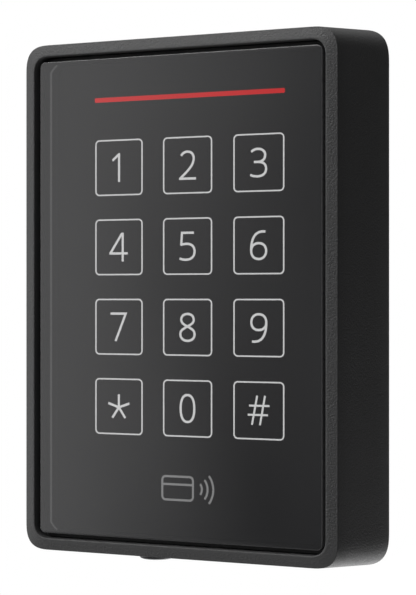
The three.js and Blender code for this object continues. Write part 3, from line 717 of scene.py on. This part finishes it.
# Each character is a list of open strokes and a list of closed ones.
CHARACTERS = {
    "1": ([[(0.07, -EDGE), (0.07, EDGE)], [(-2.2, 2.1), (0.0, TOP)]], []),
    "2": (DIGIT_TWO, []),
    "3": (DIGIT_THREE, []),
    "4": ([[(1.35, -EDGE), (1.35, EDGE)], [(-2.95, -1.75), (1.15, 4.1)], [(-3.3, -1.84), (3.1, -1.84)]], []),
    "5": (DIGIT_FIVE, []),
    "6": (DIGIT_SIX, [SIX_LOOP]),
    "7": ([[(-2.9, TOP), (2.4, TOP), (-1.15, -EDGE)]], []),
    "8": (DIGIT_EIGHT, []),
    "9": (half_turn(DIGIT_SIX), half_turn([SIX_LOOP])),
    "star": (star_arms(), []),
    "0": ([], [DIGIT_ZERO]),
    "hash": ([
        [(-0.5, 4.25), (-2.2, -4.1)],
        [(2.05, 4.25), (0.4, -4.1)],
        [(-3.1, 1.38), (3.5, 1.38)],
        [(-3.55, -1.24), (3.0, -1.24)],
    ], []),
}


def printed(name, strokes, material):
    """One printed piece from (path, width, centre, closed) strokes, joined where they cross."""
    made = None
    for path, width, centre, closed in strokes:
        stroke = solid(name + "_stroke", *ribbon(path, width, centre, closed))
        made = carve(made, stroke, "UNION") if made else stroke
    made.name = name
    smooth(made.data)
    return place(made, "reader", "legend_white", material)


def key_centres():
    for row in range(KEY_ROWS):
        for column in range(KEY_COLUMNS):
            x = KEY_CENTRE_X + (column - (KEY_COLUMNS - 1) / 2) * KEY_PITCH_X
            z = KEY_CENTRE_Z + ((KEY_ROWS - 1) / 2 - row) * KEY_PITCH_Z
            yield x, z


def legends():
    border = rounded_rectangle(KEY_SIZE, KEY_SIZE, KEY_CORNER, steps=8)
    for (name, (open_strokes, closed_strokes)), centre in zip(CHARACTERS.items(), key_centres()):
        printed("key_frame_" + name, [(border, KEY_LINE, centre, True)], WHITE)
        line = HASH_LINE if name == "hash" else DIGIT_LINE
        strokes = [(path, line, centre, False) for path in open_strokes]
        strokes += [(path, line, centre, True) for path in closed_strokes]
        printed("key_character_" + name, strokes, WHITE)


def card_symbol():
    """A generic contactless-card sign under the keys: a card and three waves."""
    outline = rounded_rectangle(CARD_WIDTH, CARD_HEIGHT, CARD_CORNER, steps=6)
    card = [(CARD_X + x, z) for x, z in outline]
    stripe = [(CARD_X - STRIPE_HALF, STRIPE_Z), (CARD_X + STRIPE_HALF, STRIPE_Z)]
    strokes = [(card, SIGN_LINE, SIGN_CENTRE, True), (stripe, SIGN_LINE, SIGN_CENTRE, False)]
    turns = [math.radians(degrees) for degrees in WAVE_ANGLES]
    for radius in WAVE_RADII:
        wave = [(WAVE_X + radius * math.cos(a), radius * math.sin(a)) for a in turns]
        strokes.append((wave, SIGN_LINE, SIGN_CENTRE, False))
    printed("card_symbol", strokes, GREY)


# ---------------------------------------------------------------- lock screw

def lock_screw():
    """The captive screw: a low dome that faces down, with a pin in its six-sided recess."""
    low, high = node_box("lock_screw")
    axis = (low.x + high.x) / 2, (low.y + high.y) / 2
    radius = (high.x - low.x) / 2
    under = low.z + LOCK_HEAD_HEIGHT
    crown = low.z + LOCK_CROWN_INSET
    side = under - LOCK_HEAD_EDGE
    power = LOCK_HEAD_POWER
    dome = [(radius * s ** power, side + (crown - side) * c ** power) for c, s in quarter(steps=12)]
    dome[0] = (AXIS_RADIUS, crown)
    profile = dome + [
        (radius, under - LOCK_CHAMFER),
        (radius - LOCK_CHAMFER, under),
        (LOCK_SHANK_RADIUS, under),
        (LOCK_SHANK_RADIUS, high.z - LOCK_TIP_LENGTH),
        (LOCK_TIP_RADIUS, high.z),
        (AXIS_RADIUS, high.z),
    ]
    recess = [(LOCK_RECESS_RADIUS, crown - PROUD), (LOCK_RECESS_RADIUS, crown + LOCK_RECESS_DEPTH)]
    pin = [
        (LOCK_PIN_RADIUS - LOCK_CHAMFER, crown + LOCK_PIN_SUNK),
        (LOCK_PIN_RADIUS, crown + LOCK_PIN_SUNK + LOCK_CHAMFER),
        (LOCK_PIN_RADIUS, crown + LOCK_PIN_END),
    ]
    screw = solid("lock_screw_body", *turned(profile, *axis, sides=64))
    carve(screw, solid("recess", *turned(recess, *axis, sides=6)))
    carve(screw, solid("pin", *turned(pin, *axis, sides=20)), "UNION")
    smooth(screw.data)
    return place(screw, "lock_screw", "dark_steel", SCREW, "lock_screw")


# ---------------------------------------------------------------- rear: screws, plug, bracket

def thread(radius, start, end):
    """Points (radius, depth) of a threaded shank's outline, one ridge for each pitch."""
    count = int(abs(end - start) / THREAD_PITCH)
    step = (end - start) / count
    points = []
    for i in range(count):
        points += [(radius - THREAD_HEIGHT, start + i * step), (radius, start + (i + 0.5) * step)]
    return points


def cross_arm(half_length, half_width, angle):
    """Corners of a rectangle in the front view, turned by 0 or 90 degrees."""
    a, b = (half_length, half_width) if angle == 0 else (half_width, half_length)
    return [(a, b), (-a, b), (-a, -b), (a, -b)]


def pan_screw(node, head_radius, head_height, shank_radius):
    """A cross-recessed pan head screw driven from the back, in the place of its plain CAD screw."""
    low, high = node_box(node)
    centre = middle_of(low, high)
    tip, crown = low.y - FRONT_Y, high.y - FRONT_Y
    under = crown - head_height
    edge = under + HEAD_SIDE * head_height
    profile = [
        (POINT_RADIUS, tip),
        (shank_radius - POINT_TAPER, tip + POINT_LENGTH),
        *thread(shank_radius, tip + THREAD_START, under),
        (shank_radius, under - SHANK_COLLAR),
        (head_radius - HEAD_CHAMFER, under),
        (head_radius, under + HEAD_CHAMFER),
    ]
    profile += [(AXIS_RADIUS + head_radius * c, edge + (crown - edge) * s) for c, s in quarter(steps=8)]
    body = solid(node + "_body", *turned_in_depth(profile, *centre, sides=32))
    length, width = CROSS_HALF_LENGTH * head_radius, CROSS_HALF_WIDTH * head_radius
    for angle in (0, 90):
        floor = cross_arm(CROSS_TAPER[0] * length, CROSS_TAPER[1] * width, angle)
        mouth = cross_arm(length, width, angle)
        arm = [
            ring(crown - CROSS_DEPTH * head_height, floor, centre),
            ring(crown + CROSS_PROUD, mouth, centre),
        ]
        carve(body, solid("arm", *capped(arm)))
    smooth(body.data, sharp=35)
    return place(body, "reader", "tinned_steel", STEEL, node)


def clamp_screws():
    """Slotted clamp screws in the terminal plug's bores, cut by one long slot."""
    low, high = node_box("terminal_plug")
    top = high.y - CLAMP_SUNK
    crown = top - FRONT_Y
    profile = [
        (CLAMP_AXIS_RADIUS, crown - CLAMP_HEIGHT),
        (CLAMP_RADIUS, crown - CLAMP_HEIGHT),
        (CLAMP_RADIUS, crown - CLAMP_CHAMFER),
        (CLAMP_RADIUS - CLAMP_CHAMFER, crown),
        (CLAMP_AXIS_RADIUS, crown),
    ]
    vertices, faces = [], []
    for i in range(TERMINAL_WAYS):
        x = (i - (TERMINAL_WAYS - 1) / 2) * TERMINAL_PITCH
        more, quads = turned_in_depth(profile, x, CLAMP_Z, sides=24)
        faces += [tuple(index + len(vertices) for index in face) for face in quads]
        vertices += more
    screws = solid("clamp_screws", vertices, faces)
    slot_z = (CLAMP_Z - CLAMP_SLOT_WIDTH / 2, CLAMP_Z + CLAMP_SLOT_WIDTH / 2)
    carve(screws, solid("slots", *block((low.x, high.x), (top - CLAMP_SLOT_DEPTH, high.y), slot_z)))
    smooth(screws.data)
    return place(screws, "terminal_plug", "tinned_steel", STEEL)


def tube(path, radius, sides=10):
    """A closed round wire along points, square to its path."""
    rings = []
    for i, point in enumerate(path):
        ahead = (Vector(path[min(i + 1, len(path) - 1)]) - Vector(path[max(i - 1, 0)])).normalized()
        across = ahead.cross(Vector((0, 1, 0))).normalized()
        up = across.cross(ahead)
        rings.append([tuple(Vector(point) + u * across + v * up) for u, v in circle(radius, sides)])
    return capped(rings)


def tamper_coil():
    """The wire spring under the plunger's collar. The real spring flattens as the plunger is pressed."""
    low, high = node_box("tamper_spring")
    x, z = middle_of(low, high)
    start, end = low.y + SPRING_WIRE, high.y - SPRING_WIRE
    radius = (high.x - low.x) / 2 - SPRING_WIRE
    path = []
    for i in range(SPRING_TURNS * SPRING_STEPS + 1):
        turns = i / SPRING_STEPS
        rise = min(max((turns - SPRING_CLOSED) / (SPRING_TURNS - 2 * SPRING_CLOSED), 0), 1)
        angle = turns * 2 * math.pi
        path.append((x + radius * math.cos(angle), mix(start, end, rise), z + radius * math.sin(angle)))
    coil = solid("tamper_coil", *tube(path, SPRING_WIRE))
    place(coil, "reader", "tinned_steel", STEEL, "tamper_spring")
    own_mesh(coil)
    return coil


def slot_tool(size, centre, rim):
    """A cut through the bracket's plate, with a sloping rim on both faces."""
    mouth = rim + SLOT_EDGE
    sections = [
        (BRACKET_FRONT - PROUD, mouth),
        (BRACKET_FRONT, mouth),
        (BRACKET_FRONT + mouth, 0),
        (BRACKET_BACK - SLOT_EDGE, 0),
        (BRACKET_BACK, SLOT_EDGE),
        (BRACKET_BACK + PROUD, SLOT_EDGE),
    ]
    rings = [ring(depth, grown(size, grow, steps=10), centre) for depth, grow in sections]
    return solid("slot", *capped(rings))


def core_tool(width, centre):
    """A shallow pocket in the bracket's back, its sides sloped."""
    size = (width, CORE_HEIGHT, CORE_CORNER)
    mouth = ring(BRACKET_BACK + PROUD, grown(size, 0, steps=6), centre)
    floor = ring(BRACKET_BACK - CORE_DEPTH, grown(size, -CORE_DRAFT, steps=6), centre)
    return solid("core", *capped([mouth, floor]))


def wall_bracket():
    """The moulded plate with its hooks and lock tab, cored out at the back between its ribs."""
    low, high = node_box("wall_bracket")
    size = (high.x - low.x, BRACKET_HEIGHT, BRACKET_CORNER)
    sections = [
        (BRACKET_FRONT, BRACKET_EDGE),
        (BRACKET_FRONT + BRACKET_EDGE, 0),
        (BRACKET_BACK - BRACKET_EDGE, 0),
        (BRACKET_BACK, BRACKET_EDGE),
    ]
    plate = solid("bracket_plate", *capped([ring(depth, grown(size, -inset)) for depth, inset in sections]))
    for side in (-1, 1):
        hook_x = (side * HOOK_X - HOOK_WIDTH / 2, side * HOOK_X + HOOK_WIDTH / 2)
        neck = block(hook_x, (-HOOK_REACH, WELD_Y), (HOOK_BOTTOM, HOOK_NECK_TOP))
        lip = block(hook_x, (-HOOK_REACH, HOOK_THICKNESS - HOOK_REACH), (HOOK_BOTTOM, high.z))
        carve(plate, solid("neck", *neck), "UNION")
        carve(plate, solid("lip", *lip), "UNION")
        carve(plate, slot_tool(SLOT_ACROSS, (side * SLOT_X, SLOT_Z), SLOT_RIM))
        carve(plate, slot_tool(SLOT_UPRIGHT, (side * SLOT_X, -SLOT_Z), SLOT_RIM))
    carve(plate, solid("tab", *block(TAB_X, (low.y, WELD_Y), TAB_Z)), "UNION")
    carve(plate, solid("tab_hole", *turned(TAB_HOLE, *LOCK_AXIS)))
    carve(plate, slot_tool(CABLE_WINDOW, (0, CABLE_WINDOW_Z), CABLE_WINDOW_RIM))
    for columns, rows, width in CORE_GROUPS:
        for x in columns:
            for z in rows:
                carve(plate, core_tool(width, (x, z)))
    smooth(plate.data)
    return place(plate, "wall_bracket", "bracket_grey", BRACKET, "wall_bracket")


# ---------------------------------------------------------------- CAD nodes that keep their shape

# The material of each, and the radius of its edges in millimetres.
CAD_FINISH = {
    "legend_plate": (LEGEND, 0.0),
    "touch_film": (FILM, 0.0),
    "key_light_guide": (GUIDE, 0.1),
    "light_baffle": (BLACK, 0.1),
    "main_board": (BOARD, 0.0),
    "antenna_coil": (COPPER, 0.1),
    "antenna_ferrite": (FERRITE, 0.1),
    "processor": (CHIP, 0.1),
    "card_radio_chip": (CHIP, 0.1),
    "radio_shield": (STEEL, 0.1),
    "crystal": (STEEL, 0.1),
    "buzzer": (CHIP, 0.2),
    "inductor": (FERRITE, 0.2),
    "capacitor": (STEEL, 0.2),
    "tamper_switch": (BLACK, 0.2),
    "tamper_plunger": (NYLON, 0.2),
    "terminal_header": (TERMINAL, 0.1),
    "terminal_plug": (TERMINAL, 0.15),
    "rear_gasket": (RUBBER, 0.1),
    "rear_cover": (BLACK, 0.2),
    "vent_membrane": (NYLON, 0.0),
    "lock_insert": (BRASS, 0.1),
    "lock_washer": (NYLON, 0.1),
}


def keep(node, material, bevel):
    """A CAD node whose shape is right: it gets its material and, where it needs them, rounded edges."""
    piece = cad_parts[node]
    piece.data.materials.clear()
    piece.data.materials.append(material)
    if bevel:
        weld = piece.modifiers.new("weld", "WELD")
        weld.merge_threshold = WELD_DISTANCE * MM
        soften = piece.modifiers.new("soften", "BEVEL")
        soften.width = bevel * MM
        soften.segments = 3
        soften.limit_method = "ANGLE"
        soften.angle_limit = math.radians(BEVEL_ANGLE)
        soften.harden_normals = True


# ---------------------------------------------------------------- studio

CAMERA_TURN = 30.4  # degrees to the right of the front
CAMERA_DISTANCE = 0.6262  # metres, from the middle of the front
CAMERA_SHIFT = 0.0097  # metres, sideways
CAMERA_LENS = 132.1
SENSOR_WIDTH = 36


def studio_camera():
    """At the reference view: level, to the right of the front, a little off the middle of the front face."""
    turn = math.radians(CAMERA_TURN)
    back = Vector((math.sin(turn), -math.cos(turn), 0))
    side = Vector((math.cos(turn), math.sin(turn), 0))
    data = bpy.data.cameras.new("camera")
    data.lens = CAMERA_LENS
    data.sensor_width = SENSOR_WIDTH
    data.clip_start = 0.01
    camera = bpy.data.objects.new("camera", data)
    camera.location = Vector((0, FRONT_Y * MM, 0)) + back * CAMERA_DISTANCE + side * CAMERA_SHIFT
    camera.rotation_euler = (math.pi / 2, 0, turn)
    bpy.context.scene.collection.objects.link(camera)
    bpy.context.scene.camera = camera


def compute(tree, operation, a, b=0.0):
    """A Math node on sockets or numbers."""
    node = tree.nodes.new("ShaderNodeMath")
    node.operation = operation
    for socket, value in zip(node.inputs, (a, b)):
        if isinstance(value, (int, float)):
            socket.default_value = value
        else:
            link(tree, value, socket)
    return node.outputs[0]


def ease(tree, value, start, end):
    """A smooth step from 0 at start to 1 at end."""
    node = tree.nodes.new("ShaderNodeMapRange")
    node.interpolation_type = "SMOOTHSTEP"
    node.inputs["From Min"].default_value = start
    node.inputs["From Max"].default_value = end
    link(tree, value, node.inputs["Value"])
    return node.outputs["Result"]


def lobe(tree, direction, azimuth, elevation, outer, inner):
    """A soft round light in the sky: azimuth is counted from the front towards the right, in degrees."""
    a, e = math.radians(azimuth), math.radians(elevation)
    aim = (math.sin(a) * math.cos(e), -math.cos(a) * math.cos(e), math.sin(e))
    dot = tree.nodes.new("ShaderNodeVectorMath")
    dot.operation = "DOT_PRODUCT"
    dot.inputs[1].default_value = aim
    link(tree, direction, dot.inputs[0])
    return ease(tree, dot.outputs["Value"], math.cos(math.radians(outer)), math.cos(math.radians(inner)))


# Soft round lights: azimuth from the front towards the right, elevation, outer and inner edge, strength.
LIGHTS = [
    (-75, 18, 60, 38, 1.7),
    (-30, 38, 20, 6, 8.5),
    (8, 2, 20, 5, 0.6),
    (-5, 10, 24, 6, 0.4),
    (-21, -9, 16, 4, 0.23),
    (0, 90, 66, 18, 0.78),
    (0, -90, 72, 37, 0.7),
    (-170, -32, 36, 14, 2.7),
    (180, 50, 38, 18, 0.4),
]
AMBIENT = 0.05
FLOOR_RADIUS = 5.0  # metres
FLOOR_FADE = 2.0  # where the fading starts
FLOOR_HEIGHT = -1.2
FLOOR_GREY = 0.9


def studio_sky():
    """Soft light from all round: bright from the left, above and below, dark on the right, white behind."""
    world = bpy.data.worlds.new("studio")
    bpy.context.scene.world = world
    world.use_nodes = True
    tree = world.node_tree
    tree.nodes.clear()
    direction = tree.nodes.new("ShaderNodeTexCoord").outputs["Generated"]
    light = AMBIENT
    for azimuth, elevation, outer, inner, strength in LIGHTS:
        glow = lobe(tree, direction, azimuth, elevation, outer, inner)
        light = compute(tree, "ADD", compute(tree, "MULTIPLY", glow, strength), light)
    seen = compute(tree, "MAXIMUM", tree.nodes.new("ShaderNodeLightPath").outputs["Is Camera Ray"], light)
    background = tree.nodes.new("ShaderNodeBackground")
    background.inputs["Color"].default_value = (1, 1, 1, 1)
    output = tree.nodes.new("ShaderNodeOutputWorld")
    link(tree, seen, background.inputs["Strength"])
    link(tree, background.outputs[0], output.inputs[0])


def studio_floor():
    """A pale round floor below the reader, which fades into the white round it."""
    outline = circle(FLOOR_RADIUS / MM, sides=96)
    floor = solid("floor", [(x, y, FLOOR_HEIGHT / MM) for x, y in outline], [tuple(range(len(outline)))])
    pale = bpy.data.materials.new("floor_pale")
    pale.use_nodes = True
    tree = pale.node_tree
    shader = tree.nodes["Principled BSDF"]
    shader.inputs["Base Color"].default_value = (FLOOR_GREY, FLOOR_GREY, FLOOR_GREY, 1)
    shader.inputs["Roughness"].default_value = 0.8
    shader.inputs["Emission Color"].default_value = (1, 1, 1, 1)
    spot = tree.nodes.new("ShaderNodeVectorMath")
    spot.operation = "LENGTH"
    link(tree, tree.nodes.new("ShaderNodeTexCoord").outputs["Object"], spot.inputs[0])
    glow = ease(tree, spot.outputs["Value"], FLOOR_FADE, FLOOR_RADIUS)
    link(tree, glow, shader.inputs["Emission Strength"])
    floor.data.materials.append(pale)
    for ray in ("visible_diffuse", "visible_glossy", "visible_transmission", "visible_shadow"):
        setattr(floor, ray, False)


# ---------------------------------------------------------------- making

bpy.context.scene.view_settings.view_transform = "Standard"
studio_camera()
studio_sky()
studio_floor()

housing()
window_pane()
window_spacer()
status_bar()
legends()
card_symbol()
lock_screw()
clamp_screws()
tamper_coil()
wall_bracket()
for node_name, (node_material, node_bevel) in CAD_FINISH.items():
    keep(node_name, node_material, node_bevel)
for node_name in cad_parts:
    if node_name.startswith(("key_led", "status_led")):
        keep(node_name, LED, LED_EDGE)
    if node_name.startswith("cover_screw"):
        pan_screw(node_name, **COVER_SCREW)
    if node_name.startswith("board_screw"):
        pan_screw(node_name, **BOARD_SCREW)
